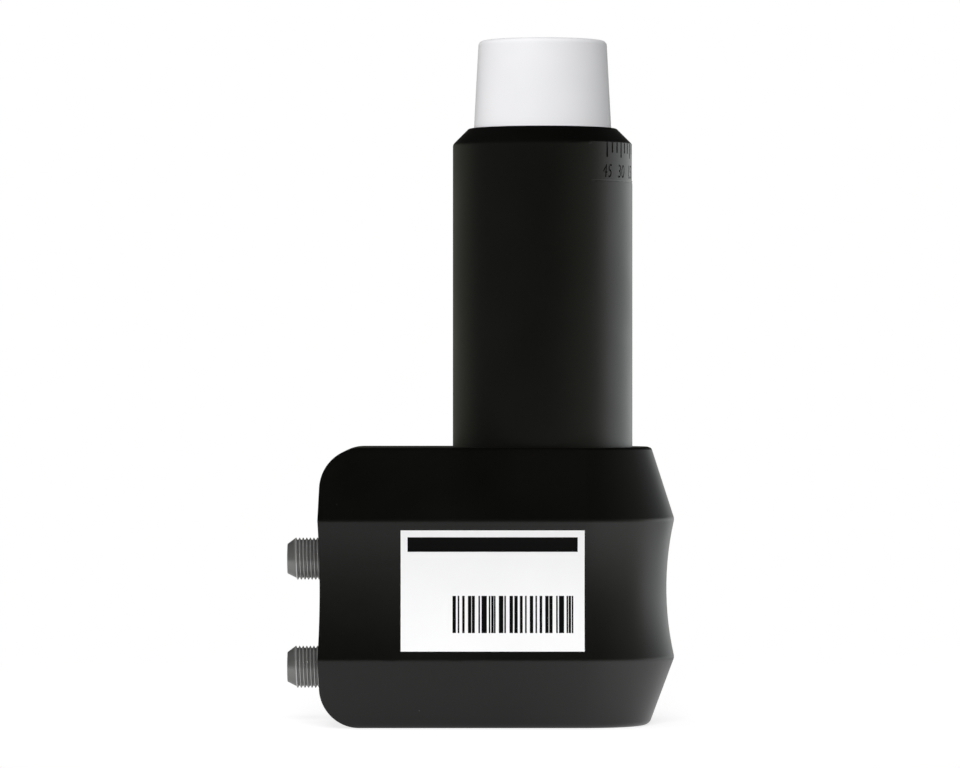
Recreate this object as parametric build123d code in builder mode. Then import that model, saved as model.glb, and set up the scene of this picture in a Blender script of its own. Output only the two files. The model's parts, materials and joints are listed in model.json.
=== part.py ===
from build123d import *
import os

os.makedirs("parts", exist_ok=True)

# Satellite LNB with a 40 mm feed neck, a ridged weather housing and two F-type outputs.
# Frame: origin on the feed axis at the foot of the housing, +Z up the feed axis towards the dish,
# -X towards the outputs, -Y towards the labelled side. All sizes in millimetres.

# Housing, drawn as a ridged section carried round the front, the right end and the back
body_height = 61.4
lower_taper_height = 15.0
upper_taper_height = 15.8
ridge_reach = 29.1
ridge_half_depth = 26.5
left_reach = 49.4
corner_radius = 20.0
lower_taper = 5.6
upper_taper = 5.1
waist_depth = 1.75
end_taper = 0.7
end_waist_depth = 0.45
end_round = 9.0
ridge_round = 1.6
head_round = 0.8
foot_round = 1.8
shell_wall = 2.0

# Neck, feed cap and angle scale
neck_diameter = 40.0
neck_length = 70.8
neck_wall = 2.4
neck_bevel = 3.5
neck_bevel_round = 1.2
neck_rim_round = 0.4
neck_insert = 3.9
neck_step = 0.6
neck_lug_reach = 1.6
neck_lug_width = 10.0
neck_lug_height = 2.4
neck_rib_count = 6
neck_rib_thickness = 2.0
cap_height = 19.6
cap_base_diameter = 30.6
cap_top_diameter = 28.5
cap_wall = 1.4
cap_edge_round = 1.1
cap_flange_reach = 1.5
cap_flange_height = 1.6
scale_panel_depth = 0.12
scale_panel_height = 8.2
scale_panel_angle = 116.0
tick_step = 5.0
tick_reach = 45.0
tick_width = 0.5
tick_depth = 0.35
short_tick = 2.3
long_tick = 3.3
long_tick_every = 3

# Horn casting with the board tray on its left side
tube_radius = 11.5
bore_radius = 8.75
back_short_thickness = 3.0
shoulder_thickness = 2.0
shoulder_radius = 19.0
horn_flange_height = 2.5
horn_nose_height = 4.6
horn_nose_wall = 3.2
horn_socket_depth = 19.5
tray_wall = 3.0
tray_floor = 3.4
tray_front = 10.0
tray_right = 9.0
tray_foot_gap = 1.0
tray_corner_round = 2.5
foot_boss_radius = 8.0
isolation_bar_radius = 1.0

# Board, cover and small parts
board_thickness = 1.0
board_gap = 0.3
boss_radius = 2.8
screw_radius = 1.25
screw_head_radius = 2.3
screw_head_height = 1.6
screw_length = 9.0
gasket_thickness = 0.6
gasket_edge = 0.5
lid_thickness = 1.8
septum_thickness = 1.2
absorber_thickness = 1.5
absorber_margin = 2.5
probe_radius = 0.4
probe_bend = 1.4
probe_lead = 4.0
bush_radius = 1.1
chip_height = 0.9
amplifier_size = 1.8
converter_size = 5.0
crystal_length = 5.0
crystal_width = 3.2
crystal_height = 1.3
regulator_length = 6.5
regulator_width = 3.5
regulator_height = 1.6
regulator_gap = 5.5
capacitor_length = 1.6
capacitor_width = 0.8
part_gap = 1.0

# Outputs
connector_spacing = 24.1
connector_lift = 3.4
thread_diameter = 9.4
thread_reach = 7.4
thread_relief = 0.3
nose_length = 1.8
nose_taper = 1.4
connector_bore_radius = 2.6
flange_radius = 6.1
flange_thickness = 1.6
spigot_radius = 3.9
connector_seal_thickness = 1.2
connector_pad_height = 1.0
connector_pad_radius = 7.4
insulator_recess = 0.5
contact_radius = 0.85
contact_hole_radius = 0.5
contact_hole_depth = 8.0
contact_lead = 4.0

# Label
label_width = 40.1
label_height = 26.4
label_center_x = -11.2
label_thickness = 0.2

# Fits
sliding_fit = 0.15
press_fit = 0.03
wall_gap = 0.3
seam_gap = 0.2
tongue_height = 1.6
post_radius = 2.5

# Derived heights and reaches
lower_ridge_z = lower_taper_height
upper_ridge_z = body_height - upper_taper_height
waist_z = (lower_ridge_z + upper_ridge_z) / 2
corner_x = ridge_reach - corner_radius
corner_y = ridge_half_depth - corner_radius
neck_radius = neck_diameter / 2
neck_bore = neck_radius - neck_wall
neck_insert_radius = neck_radius - neck_step
neck_foot_z = body_height - shell_wall - neck_insert
neck_top_z = body_height + neck_length
neck_roof_z = neck_top_z - neck_bevel
cap_top_z = neck_top_z + cap_height
cap_base_radius = cap_base_diameter / 2
cap_top_radius = cap_top_diameter / 2
cap_bore = cap_base_radius - cap_wall
cap_flange_z = neck_roof_z - cap_flange_height
scale_panel_radius = neck_radius - scale_panel_depth
nose_radius = cap_bore - wall_gap
nose_top_z = cap_flange_z + horn_nose_height
socket_radius = nose_radius - horn_nose_wall
socket_floor_z = nose_top_z - horn_socket_depth
groove_radius = nose_radius - horn_nose_wall / 2
groove_z = cap_flange_z + horn_nose_height / 2
seal_radius = (cap_bore - groove_radius) / 2
shoulder_z = neck_foot_z - shoulder_thickness
tray_foot_z = shell_wall + tray_foot_gap
tray_back = probe_radius + board_thickness + tray_floor
pad_x = -left_reach + shell_wall + connector_pad_height
flange_face_x = pad_x + connector_seal_thickness
tray_left_x = flange_face_x + flange_thickness
cavity_left_x = tray_left_x + tray_wall
cavity_right_x = -tray_right - tray_wall
cavity_foot_z = tray_foot_z + tray_wall
cavity_top_z = shoulder_z - tray_wall
cavity_width = cavity_right_x - cavity_left_x
cavity_height = cavity_top_z - cavity_foot_z
cavity_x = (cavity_left_x + cavity_right_x) / 2
cavity_z = (cavity_foot_z + cavity_top_z) / 2
tray_width = cavity_width + 2 * tray_wall
tray_height = cavity_height + 2 * tray_wall
board_back = probe_radius + board_thickness
lid_back = tray_front + gasket_thickness
lid_front = lid_back + lid_thickness
lower_connector_z = end_round + connector_lift
upper_connector_z = lower_connector_z + connector_spacing
mid_connector_z = (lower_connector_z + upper_connector_z) / 2
connector_heights = {"upper": upper_connector_z, "lower": lower_connector_z}
thread_radius = thread_diameter / 2
relief_radius = thread_radius - thread_relief
thread_start_x = -left_reach - wall_gap
thread_tip_x = -left_reach - thread_reach
upper_probe_z = cavity_z + cavity_height / 4
lower_probe_z = cavity_z - cavity_height / 4
probe_heights = {"upper": upper_probe_z, "lower": lower_probe_z}
probe_start_x = cavity_right_x - probe_lead
boss_inset = boss_radius - tray_wall / 2
clear_inset = boss_inset + boss_radius + board_gap
clear_left_x = cavity_left_x + clear_inset
clear_width = cavity_width - 2 * clear_inset
clear_height = cavity_height - 2 * clear_inset
amplifier_x = probe_start_x - part_gap - amplifier_size / 2
capacitor_x = amplifier_x - amplifier_size / 2 - part_gap - capacitor_width - part_gap / 2
screw_points = [
    (cavity_left_x + boss_inset, cavity_top_z - boss_inset),
    (cavity_right_x - boss_inset, cavity_top_z - boss_inset),
    (cavity_left_x + boss_inset, mid_connector_z),
    (cavity_right_x - boss_inset, cavity_z),
    (cavity_x, cavity_foot_z + boss_inset),
    (cavity_right_x - boss_inset, cavity_foot_z + boss_inset),
]
post_points = [
    (cavity_x + side * cavity_width / 4, height)
    for side in (-1, 1)
    for height in (upper_probe_z, lower_probe_z)
]


def write(part, name):
    """Give the piece its node name and save it."""
    part.label = name
    export_step(part, f"parts/{name}.step")


def facing(distance):
    """Upright plane at a distance in front of the feed axis; its sketch runs along X and Z."""
    return Plane.XZ.offset(distance)


def across(x, z=0.0):
    """Upright plane that faces the outputs, centred on the feed axis at height z."""
    return Plane(origin=(x, 0, z), x_dir=(0, -1, 0), z_dir=(-1, 0, 0))


def ridged_side(inset, reach):
    """One side of the housing section: distance outwards against height, drawn in by inset."""
    ridge = reach - inset
    foot = (ridge - lower_taper, inset)
    head = (ridge - upper_taper, body_height - inset)
    with BuildSketch(mode=Mode.PRIVATE) as side:
        with BuildLine():
            Polyline((0, inset), foot, (ridge, lower_ridge_z))
            ThreePointArc((ridge, lower_ridge_z), (ridge - waist_depth, waist_z), (ridge, upper_ridge_z))
            Polyline((ridge, upper_ridge_z), head, (0, body_height - inset), (0, inset))
        make_face()
        # A rounding drawn in by more than its own radius has become a sharp inner corner.
        if inset < ridge_round:
            fillet(side.vertices().group_by(Axis.X)[-1], ridge_round - inset)
        if inset < head_round:
            fillet(side.vertices().group_by(Axis.Y)[-1].sort_by(Axis.X)[-1], head_round - inset)
        if inset < foot_round:
            fillet(side.vertices().group_by(Axis.Y)[0].sort_by(Axis.X)[-1], foot_round - inset)
    return side.sketch


def end_outline(inset):
    """The housing seen from the front, with its two round corners at the output end."""
    left = inset - left_reach
    far_right = ridge_reach + corner_radius
    foot = (left + end_taper, inset)
    head = (left + end_taper, body_height - inset)
    with BuildSketch(mode=Mode.PRIVATE) as outline:
        with BuildLine():
            Polyline((far_right, inset), foot, (left, lower_ridge_z))
            ThreePointArc((left, lower_ridge_z), (left + end_waist_depth, waist_z), (left, upper_ridge_z))
            Polyline((left, upper_ridge_z), head, (far_right, body_height - inset), (far_right, inset))
        make_face()
        fillet(outline.vertices().group_by(Axis.Y)[-1].sort_by(Axis.X)[0], end_round - inset)
        fillet(outline.vertices().group_by(Axis.Y)[0].sort_by(Axis.X)[0], end_round - inset)
    return outline.sketch


def housing_form(inset):
    """The closed form of the housing, drawn in by inset on every side."""
    with BuildPart() as form:
        with BuildSketch(Plane.YZ.offset(-left_reach - corner_radius)):
            add(ridged_side(inset, ridge_half_depth))
            mirror(about=Plane.YZ)
        extrude(amount=left_reach + corner_radius + corner_x)
        with BuildSketch(Plane(origin=(corner_x, 0, 0), x_dir=(1, 0, 0), z_dir=(0, -1, 0))):
            add(ridged_side(inset, corner_radius))
        extrude(amount=corner_y, both=True)
        for side in (-1, 1):
            corner = (corner_x, side * corner_y, 0)
            with BuildSketch(Plane(origin=corner, x_dir=(0, side, 0), z_dir=(side, 0, 0))):
                add(ridged_side(inset, corner_radius))
            revolve(axis=Axis(corner, (0, 0, -side)), revolution_arc=90)
        with BuildSketch(Plane.XZ):
            add(end_outline(inset))
        extrude(amount=ridge_half_depth + corner_radius, both=True, mode=Mode.INTERSECT)
    return form.part


outer_form = housing_form(0)
inner_form = housing_form(shell_wall)
tongue_form = housing_form(shell_wall / 2 + sliding_fit)
groove_form = housing_form(shell_wall / 2)

with BuildPart() as housing_wall:
    add(outer_form)
    add(inner_form, mode=Mode.SUBTRACT)

# The tongue stands on the front half and slips into a groove inside the back half.
with BuildPart() as tongue:
    add(tongue_form)
    add(inner_form, mode=Mode.SUBTRACT)
    split(bisect_by=facing(-tongue_height), keep=Keep.TOP)
    split(bisect_by=facing(tongue_height), keep=Keep.BOTTOM)

with BuildPart() as groove:
    add(groove_form)
    add(inner_form, mode=Mode.SUBTRACT)
    split(bisect_by=facing(-tongue_height - sliding_fit), keep=Keep.TOP)
    split(bisect_by=facing(tongue_height), keep=Keep.BOTTOM)

# Openings that the closed housing leaves round the neck and the outputs
with BuildPart() as housing_openings:
    with BuildSketch(Plane.XY.offset(neck_foot_z)):
        Circle(neck_insert_radius + sliding_fit)
    extrude(amount=body_height)
    for height in connector_heights.values():
        with BuildSketch(across(flange_face_x, height)):
            Circle(relief_radius + wall_gap)
        extrude(amount=left_reach)

# Inside, pads stand round the outputs, a boss under the horn, and posts reach to the casting.
with BuildPart() as seam_pads:
    for height in connector_heights.values():
        with BuildSketch(across(pad_x, height)):
            Circle(connector_pad_radius)
        extrude(amount=left_reach)
    with BuildSketch():
        Circle(foot_boss_radius)
    extrude(amount=tray_foot_z)
    add(outer_form, mode=Mode.INTERSECT)

with BuildPart() as front_shell:
    with BuildSketch(facing(lid_front)):
        with Locations(*post_points):
            Circle(post_radius)
    extrude(amount=ridge_half_depth)
    add(outer_form, mode=Mode.INTERSECT)
    add(housing_wall.part)
    add(seam_pads.part)
    split(bisect_by=facing(seam_gap / 2), keep=Keep.TOP)
    add(tongue.part)
    add(housing_openings.part, mode=Mode.SUBTRACT)
write(front_shell.part, "front_shell")

with BuildPart() as back_shell:
    with BuildSketch(facing(-tray_back)):
        with Locations(*post_points):
            Circle(post_radius)
    extrude(amount=-ridge_half_depth)
    add(outer_form, mode=Mode.INTERSECT)
    add(housing_wall.part)
    add(seam_pads.part)
    split(bisect_by=facing(-seam_gap / 2), keep=Keep.BOTTOM)
    add(groove.part, mode=Mode.SUBTRACT)
    add(housing_openings.part, mode=Mode.SUBTRACT)
write(back_shell.part, "back_shell")

# The label follows the hollow of the middle band.
with BuildPart() as label:
    with BuildSketch(facing(0)):
        with Locations((label_center_x, waist_z)):
            Rectangle(label_width, label_height)
    extrude(amount=ridge_half_depth)
    add(housing_form(-label_thickness), mode=Mode.INTERSECT)
    add(outer_form, mode=Mode.SUBTRACT)
write(label.part, "label")

# The neck stands on the casting's shoulder and on the roof of the housing; two lugs catch under it.
tick_count = round(2 * tick_reach / tick_step) + 1
long_tick_count = round(2 * tick_reach / (tick_step * long_tick_every)) + 1
rib_inner = tube_radius + sliding_fit
rib_depth = neck_radius - rib_inner
with BuildPart() as neck_sleeve:
    with BuildSketch(Plane.XZ) as neck_section:
        with BuildLine():
            Polyline(
                (neck_bore, neck_foot_z),
                (neck_insert_radius, neck_foot_z),
                (neck_insert_radius, body_height),
                (neck_radius, body_height),
                (neck_radius, neck_roof_z),
                (neck_radius - neck_bevel, neck_top_z),
                (cap_base_radius + sliding_fit, neck_top_z),
                (cap_base_radius + sliding_fit, neck_roof_z),
                (neck_bore, neck_roof_z),
                close=True,
            )
        make_face()
        fillet(neck_section.vertices().group_by(Axis.X)[-1].sort_by(Axis.Y)[-1], neck_bevel_round)
        fillet(neck_section.vertices().group_by(Axis.Y)[-1].sort_by(Axis.X)[-1], neck_rim_round)
    revolve(axis=Axis.Z)
    with BuildSketch(Plane.XY.offset(neck_foot_z)):
        with PolarLocations(rib_inner, neck_rib_count, start_angle=180 / neck_rib_count):
            Rectangle(rib_depth - neck_wall / 2, neck_rib_thickness, align=(Align.MIN, Align.CENTER))
    extrude(amount=cap_flange_z - horn_flange_height - neck_foot_z - neck_bevel)
    with BuildSketch(Plane.XY.offset(body_height - shell_wall)):
        with PolarLocations(neck_radius - neck_wall / 2, 2):
            Rectangle(neck_wall / 2 + neck_lug_reach, neck_lug_width, align=(Align.MIN, Align.CENTER))
    extrude(amount=-neck_lug_height)
    with BuildSketch(Plane.XY.offset(neck_roof_z - scale_panel_height)):
        with BuildLine():
            panel_edge = CenterArc((0, 0), neck_diameter, -scale_panel_angle / 2, scale_panel_angle)
            Polyline(panel_edge @ 1, (0, 0), panel_edge @ 0)
        make_face()
        Circle(scale_panel_radius, mode=Mode.SUBTRACT)
    extrude(amount=scale_panel_height + neck_bevel, mode=Mode.SUBTRACT)
    for count, length in ((tick_count, short_tick), (long_tick_count, long_tick)):
        with BuildSketch(Plane.XY.offset(neck_roof_z - length)):
            with PolarLocations(scale_panel_radius, count, -tick_reach, 2 * tick_reach, endpoint=True):
                Rectangle(2 * tick_depth, tick_width)
        extrude(amount=length, mode=Mode.SUBTRACT)
write(neck_sleeve.part, "neck_sleeve")

# The cap's foot flange is held between the horn and the roof of the neck.
with BuildPart() as feed_cap:
    with BuildSketch(Plane.XZ) as cap_section:
        with BuildLine():
            Polyline(
                (cap_bore, cap_flange_z),
                (cap_base_radius + cap_flange_reach, cap_flange_z),
                (cap_base_radius + cap_flange_reach, neck_roof_z),
                (cap_base_radius, neck_roof_z),
                (cap_base_radius, neck_top_z),
                (cap_top_radius, cap_top_z),
                (0, cap_top_z),
                (0, cap_top_z - cap_wall),
                (cap_top_radius - cap_wall, cap_top_z - cap_wall),
                (cap_bore, neck_top_z),
                close=True,
            )
        make_face()
        fillet(cap_section.vertices().group_by(Axis.Y)[-1].sort_by(Axis.X)[-1], cap_edge_round)
    revolve(axis=Axis.Z)
write(feed_cap.part, "feed_cap")

# Horn, tube and board tray are one casting, closed behind the probes.
with BuildPart() as waveguide_casting:
    with BuildSketch(Plane.XZ):
        with BuildLine():
            Polyline(
                (0, tray_foot_z),
                (tube_radius, tray_foot_z),
                (tube_radius, shoulder_z),
                (shoulder_radius, shoulder_z),
                (shoulder_radius, neck_foot_z),
                (tube_radius, neck_foot_z),
                (tube_radius, cap_flange_z - horn_flange_height),
                (cap_base_radius, cap_flange_z - horn_flange_height),
                (cap_base_radius, cap_flange_z),
                (nose_radius, cap_flange_z),
                (nose_radius, nose_top_z),
                (0, nose_top_z),
                close=True,
            )
        make_face()
    revolve(axis=Axis.Z)
    with BuildSketch(facing(-tray_back)):
        with Locations((cavity_x, cavity_z)):
            RectangleRounded(tray_width, tray_height, tray_corner_round)
    extrude(amount=tray_back + tray_front)
    with BuildSketch(facing(-board_back)):
        with Locations((cavity_x, cavity_z)):
            Rectangle(cavity_width, cavity_height)
    extrude(amount=board_back + tray_front, mode=Mode.SUBTRACT)
    with BuildSketch(facing(-board_back)):
        with Locations(*screw_points):
            Circle(boss_radius)
    extrude(amount=board_back + tray_front)
    with BuildSketch(facing(tray_front)):
        with Locations(*screw_points):
            Circle(screw_radius + press_fit)
    extrude(amount=-screw_length, mode=Mode.SUBTRACT)
    with BuildSketch(Plane.XY.offset(tray_foot_z + back_short_thickness)):
        Circle(bore_radius)
    extrude(amount=nose_top_z, mode=Mode.SUBTRACT)
    with BuildSketch(Plane.XY.offset(socket_floor_z)):
        Circle(socket_radius)
    extrude(amount=horn_socket_depth, mode=Mode.SUBTRACT)
    with BuildSketch(across(0, cavity_z)):
        Circle(isolation_bar_radius)
    extrude(amount=bore_radius + isolation_bar_radius, both=True)
    for height in connector_heights.values():
        with BuildSketch(across(cavity_left_x, height)):
            Circle(spigot_radius + press_fit)
        extrude(amount=tray_wall, mode=Mode.SUBTRACT)
    for height in probe_heights.values():
        with BuildSketch(across(0, height)):
            Circle(bush_radius + press_fit)
        extrude(amount=-cavity_right_x, mode=Mode.SUBTRACT)
    with BuildSketch(Plane.XZ):
        with Locations((groove_radius, groove_z)):
            Rectangle(horn_nose_wall, 2 * seal_radius + sliding_fit, align=(Align.MIN, Align.CENTER))
    revolve(axis=Axis.Z, mode=Mode.SUBTRACT)
write(waveguide_casting.part, "waveguide_casting")

with BuildPart() as cap_seal:
    with BuildSketch(Plane.XZ):
        with Locations((groove_radius + seal_radius, groove_z)):
            Rectangle(2 * seal_radius - 2 * press_fit, 2 * seal_radius)
    revolve(axis=Axis.Z)
write(cap_seal.part, "cap_seal")

# The rod's collar rests on the floor of the horn's socket.
collar_height = horn_socket_depth / 2
rod_tip_z = cap_top_z - cap_wall - wall_gap
rod_tail_z = socket_floor_z - horn_socket_depth
with BuildPart() as dielectric_rod:
    with BuildSketch(Plane.XZ):
        with BuildLine():
            Polyline(
                (0, rod_tail_z),
                (bore_radius / 8, rod_tail_z),
                (bore_radius - wall_gap, socket_floor_z),
                (socket_radius - sliding_fit, socket_floor_z),
                (socket_radius - sliding_fit, socket_floor_z + collar_height),
                (bore_radius - wall_gap, socket_floor_z + collar_height),
                (bore_radius / 3, rod_tip_z),
                (0, rod_tip_z),
                close=True,
            )
        make_face()
    revolve(axis=Axis.Z)
write(dielectric_rod.part, "dielectric_rod")

# The board lies on the tray floor, its face one wire radius behind the feed axis.
with BuildPart() as circuit_board:
    with BuildSketch(facing(-board_back)):
        with Locations((cavity_x, cavity_z)):
            Rectangle(cavity_width - 2 * board_gap, cavity_height - 2 * board_gap)
        with Locations(*screw_points):
            Circle(boss_radius + board_gap, mode=Mode.SUBTRACT)
    extrude(amount=board_thickness)
write(circuit_board.part, "circuit_board")

# Both probes lie on the board, pass the tube wall in bushes, and the lower one bends to the front.
with BuildPart() as horizontal_probe:
    with BuildSketch(across(probe_start_x, upper_probe_z)):
        Circle(probe_radius)
    extrude(amount=probe_start_x + bore_radius / 2)
write(horizontal_probe.part, "horizontal_probe")

with BuildPart() as vertical_probe:
    with BuildLine() as probe_path:
        FilletPolyline(
            (probe_start_x, 0, lower_probe_z),
            (0, 0, lower_probe_z),
            (0, -bore_radius / 2, lower_probe_z),
            radius=probe_bend,
        )
    with BuildSketch(across(probe_start_x, lower_probe_z)):
        Circle(probe_radius)
    sweep(path=probe_path.line)
write(vertical_probe.part, "vertical_probe")

with BuildPart() as probe_bushes:
    for height in probe_heights.values():
        with BuildSketch(across(-bore_radius, height)):
            Circle(bush_radius)
            Circle(probe_radius + press_fit, mode=Mode.SUBTRACT)
        extrude(amount=-cavity_right_x - bore_radius)
write(probe_bushes.part, "probe_bushes")

# Parts on the face of the board: amplifiers by the probes, then capacitors, then the large parts
with BuildPart() as amplifier_transistors:
    with BuildSketch(facing(-probe_radius)):
        with Locations(*[(amplifier_x, height) for height in probe_heights.values()]):
            with GridLocations(1, amplifier_size + part_gap, 1, 2):
                Rectangle(amplifier_size, amplifier_size)
    extrude(amount=chip_height)
write(amplifier_transistors.part, "amplifier_transistors")

with BuildPart() as chip_capacitors:
    with BuildSketch(facing(-probe_radius)):
        with Locations(*[(capacitor_x, height) for height in probe_heights.values()]):
            with GridLocations(capacitor_width + part_gap, capacitor_length + part_gap, 2, 4):
                Rectangle(capacitor_width, capacitor_length)
    extrude(amount=chip_height)
write(chip_capacitors.part, "chip_capacitors")

with BuildPart() as converter_chip:
    with BuildSketch(facing(-probe_radius)):
        with Locations((clear_left_x, lower_probe_z)):
            Rectangle(converter_size, converter_size, align=(Align.MIN, Align.CENTER))
    extrude(amount=chip_height)
write(converter_chip.part, "converter_chip")

with BuildPart() as quartz_crystal:
    with BuildSketch(facing(-probe_radius)):
        with Locations((clear_left_x, lower_probe_z + converter_size / 2 + part_gap)):
            Rectangle(crystal_length, crystal_width, align=(Align.MIN, Align.MIN))
    extrude(amount=crystal_height)
write(quartz_crystal.part, "quartz_crystal")

with BuildPart() as voltage_regulators:
    with BuildSketch(facing(-probe_radius)):
        with Locations((clear_left_x + regulator_length / 2, upper_probe_z)):
            with GridLocations(1, regulator_width + regulator_gap, 1, 2):
                Rectangle(regulator_length, regulator_width)
    extrude(amount=regulator_height)
write(voltage_regulators.part, "voltage_regulators")

# The cover closes the tray over a soft gasket; its inner wall parts the two signal paths.
rim_width = tray_width - 2 * gasket_edge
rim_height = tray_height - 2 * gasket_edge
with BuildPart() as lid_gasket:
    with BuildSketch(facing(tray_front)):
        with Locations((cavity_x, cavity_z)):
            Rectangle(rim_width, rim_height)
            Rectangle(cavity_width, cavity_height, mode=Mode.SUBTRACT)
        with Locations(*screw_points):
            Circle(boss_radius)
            Circle(screw_radius + sliding_fit, mode=Mode.SUBTRACT)
    extrude(amount=gasket_thickness)
write(lid_gasket.part, "lid_gasket")

with BuildPart() as casting_lid:
    with BuildSketch(facing(lid_back)):
        with Locations((cavity_x, cavity_z)):
            Rectangle(rim_width, rim_height)
        with Locations(*screw_points):
            Circle(screw_radius + sliding_fit, mode=Mode.SUBTRACT)
    extrude(amount=lid_thickness)
    with BuildSketch(facing(lid_back)):
        with Locations((cavity_x, cavity_z)):
            Rectangle(clear_width, septum_thickness)
    extrude(amount=-(lid_back + probe_radius - wall_gap))
write(casting_lid.part, "casting_lid")

with BuildPart() as lid_screws:
    with BuildSketch(facing(lid_front)):
        with Locations(*screw_points):
            Circle(screw_head_radius)
    extrude(amount=screw_head_height)
    with BuildSketch(facing(lid_front)):
        with Locations(*screw_points):
            Circle(screw_radius)
    extrude(amount=-screw_length)
write(lid_screws.part, "lid_screws")

absorber_height = (clear_height - septum_thickness) / 2 - absorber_margin
absorber_z = cavity_z + (clear_height - absorber_height) / 2
with BuildPart() as absorber_pad:
    with BuildSketch(facing(lid_back)):
        with Locations((cavity_x, absorber_z)):
            Rectangle(clear_width, absorber_height)
    extrude(amount=-absorber_thickness)
write(absorber_pad.part, "absorber_pad")


# Outputs: each flange sits on the tray wall, each thread passes the housing wall.
def turned(height, profile):
    """Piece turned about the axis of the output at a height; profile lists (x, radius)."""
    with BuildPart() as piece:
        with BuildSketch(Plane.XZ):
            with BuildLine():
                Polyline(*[(x, height + radius) for x, radius in profile], close=True)
            make_face()
        revolve(axis=Axis((0, 0, height), (1, 0, 0)))
    return piece.part


insulator_tip_x = thread_tip_x + insulator_recess
contact_tip_x = insulator_tip_x + insulator_recess
contact_floor_x = contact_tip_x + contact_hole_depth
barrel_profile = [
    (cavity_left_x, connector_bore_radius),
    (cavity_left_x, spigot_radius),
    (tray_left_x, spigot_radius),
    (tray_left_x, flange_radius),
    (flange_face_x, flange_radius),
    (flange_face_x, relief_radius),
    (thread_start_x, relief_radius),
    (thread_start_x, thread_radius),
    (thread_tip_x + nose_length, thread_radius),
    (thread_tip_x, thread_radius - nose_taper),
    (thread_tip_x, connector_bore_radius),
]
insulator_profile = [
    (cavity_left_x, contact_radius + press_fit),
    (cavity_left_x, connector_bore_radius - press_fit),
    (insulator_tip_x, connector_bore_radius - press_fit),
    (insulator_tip_x, contact_hole_radius),
    (contact_tip_x, contact_hole_radius),
    (contact_tip_x, contact_radius + press_fit),
]
contact_profile = [
    (cavity_left_x + contact_lead, 0),
    (cavity_left_x + contact_lead, probe_radius),
    (cavity_left_x, probe_radius),
    (cavity_left_x, contact_radius),
    (contact_tip_x, contact_radius),
    (contact_tip_x, contact_hole_radius),
    (contact_floor_x, contact_hole_radius),
    (contact_floor_x, 0),
]
seal_profile = [
    (flange_face_x, relief_radius + sliding_fit),
    (flange_face_x, flange_radius),
    (pad_x, flange_radius),
    (pad_x, relief_radius + sliding_fit),
]
for place, height in connector_heights.items():
    write(turned(height, barrel_profile), f"{place}_connector")
    write(turned(height, insulator_profile), f"{place}_insulator")
    write(turned(height, contact_profile), f"{place}_contact")
    write(turned(height, seal_profile), f"{place}_connector_seal")
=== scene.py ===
# %% [markdown]
# # A satellite LNB, dressed for its portrait
# The solids arrive finished and to size from the frame. This lesson adds what a camera notices:
# moulded plastic, plated threads, a sticker, the numbers of the angle scale, light and a viewpoint.
# We keep the box of the solids at once, because nothing added later may reach outside it.

# %% Load the frame
import functools
import json
import math
import bmesh
import bpy
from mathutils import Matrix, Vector


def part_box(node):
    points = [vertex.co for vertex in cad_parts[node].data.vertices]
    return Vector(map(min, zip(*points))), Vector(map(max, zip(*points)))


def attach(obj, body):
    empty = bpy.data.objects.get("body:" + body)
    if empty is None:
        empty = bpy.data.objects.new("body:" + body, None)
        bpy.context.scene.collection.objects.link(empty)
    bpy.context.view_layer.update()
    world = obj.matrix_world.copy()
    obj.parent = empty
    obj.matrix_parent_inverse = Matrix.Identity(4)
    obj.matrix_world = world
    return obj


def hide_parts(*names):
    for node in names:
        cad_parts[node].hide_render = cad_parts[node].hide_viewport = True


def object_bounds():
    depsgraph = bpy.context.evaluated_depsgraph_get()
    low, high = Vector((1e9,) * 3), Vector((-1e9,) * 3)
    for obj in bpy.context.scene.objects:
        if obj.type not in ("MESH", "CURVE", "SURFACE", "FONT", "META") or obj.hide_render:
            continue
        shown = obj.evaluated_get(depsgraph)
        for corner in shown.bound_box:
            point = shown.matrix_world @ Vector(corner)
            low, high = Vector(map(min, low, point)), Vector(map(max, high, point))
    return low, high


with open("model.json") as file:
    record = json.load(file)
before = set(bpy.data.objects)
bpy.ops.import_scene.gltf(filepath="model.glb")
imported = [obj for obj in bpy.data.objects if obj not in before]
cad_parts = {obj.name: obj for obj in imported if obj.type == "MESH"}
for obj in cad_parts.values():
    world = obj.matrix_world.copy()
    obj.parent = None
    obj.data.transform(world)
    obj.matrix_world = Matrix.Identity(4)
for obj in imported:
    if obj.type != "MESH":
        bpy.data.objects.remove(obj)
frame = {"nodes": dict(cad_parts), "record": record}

nodes = frame["nodes"]
solid_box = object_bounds()
MM = 0.001
print("pieces in the frame:", len(nodes))

# %% [markdown]
# ## Effects that several finishes share
# Moulded plastic, paper and cast metal all have a fine grain, and every surface varies a little from
# place to place. Both effects are shader node groups here, built once and placed in each finish with
# its own scale: one gives the height of the grain for a Bump node, the other a slow cloud between 0
# and 1 that can vary a colour or a roughness. They read Object coordinates, so the pattern is as
# large on every piece as it would be in the hand.

# %% An empty node group
def new_group(name, inputs, outputs):
    """A node group with number inputs (name, default) and number outputs; gives its end nodes too."""
    group = bpy.data.node_groups.new(name, "ShaderNodeTree")
    for socket_name, default in inputs:
        socket = group.interface.new_socket(socket_name, in_out="INPUT", socket_type="NodeSocketFloat")
        socket.default_value = default
    for socket_name in outputs:
        group.interface.new_socket(socket_name, in_out="OUTPUT", socket_type="NodeSocketFloat")
    return group, group.nodes.new("NodeGroupInput"), group.nodes.new("NodeGroupOutput")


# %% Fine grain
GRAIN_DETAIL = 3.0
GRAIN_ROUGHNESS = 0.6


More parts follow.
